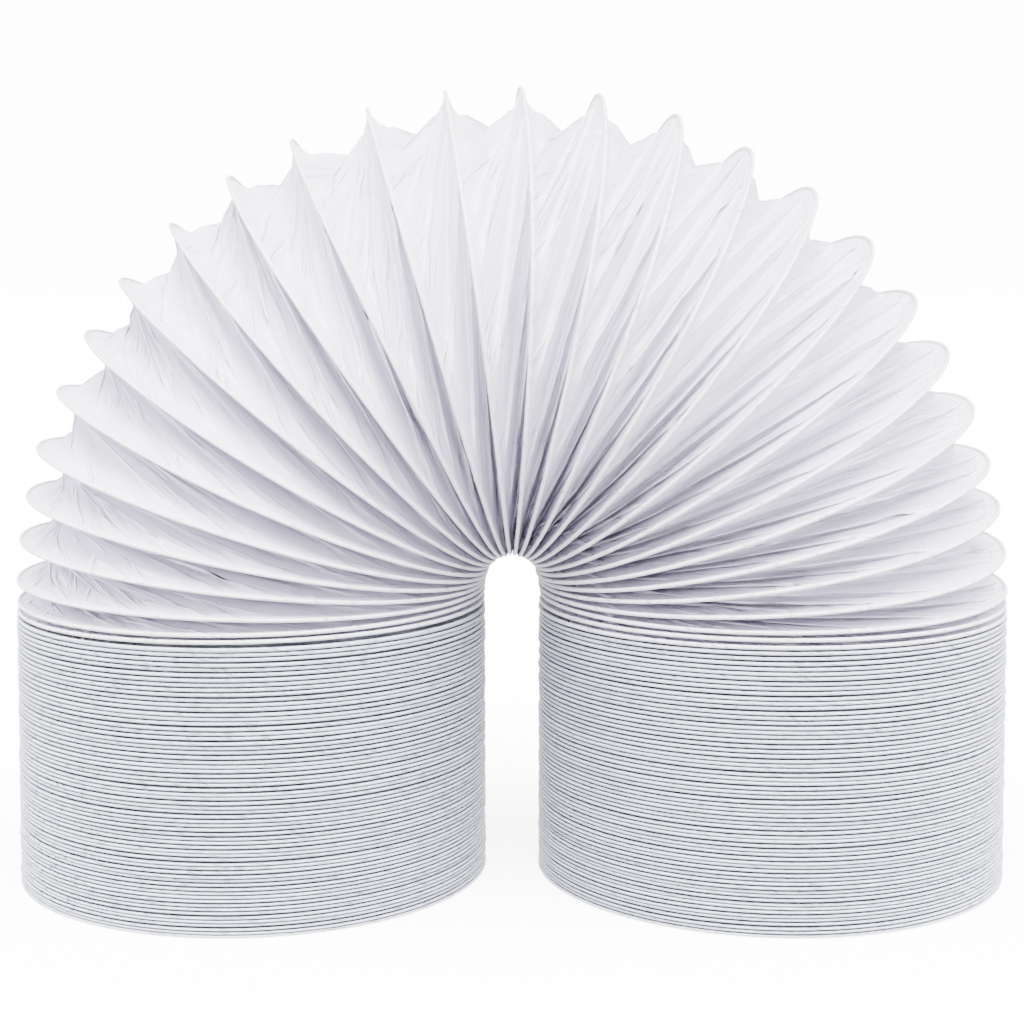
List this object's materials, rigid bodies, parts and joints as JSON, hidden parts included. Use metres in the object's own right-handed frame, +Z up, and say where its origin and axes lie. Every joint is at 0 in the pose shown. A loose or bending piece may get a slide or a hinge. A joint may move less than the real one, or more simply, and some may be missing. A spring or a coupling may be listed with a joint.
{
  "type": "ventilation hose",
  "caption": "Pleated white film duct on a spring wire, pushed together and standing on its two ends as an arch, open right through for moving air.",
  "frame": {"origin": "on the floor, midway between the two ends that the hose stands on", "axes": "+Z up, +X from the left leg to the right leg, +Y away from the side that the picture shows"},
  "size_m": [0.3174, 0.15, 0.2525],
  "materials": {
    "film": "soft satin, slightly see-through, finely creased",
    "packed_film": "satin turns lying on each other, with fine dark lines between them",
    "wire_sheath": "satin"
  },
  "bodies": {
    "root": {"left_stack": "packed_film", "right_stack": "packed_film", "open_film": "film", "wire_helix": "wire_sheath"}
  },
  "joints": []
}
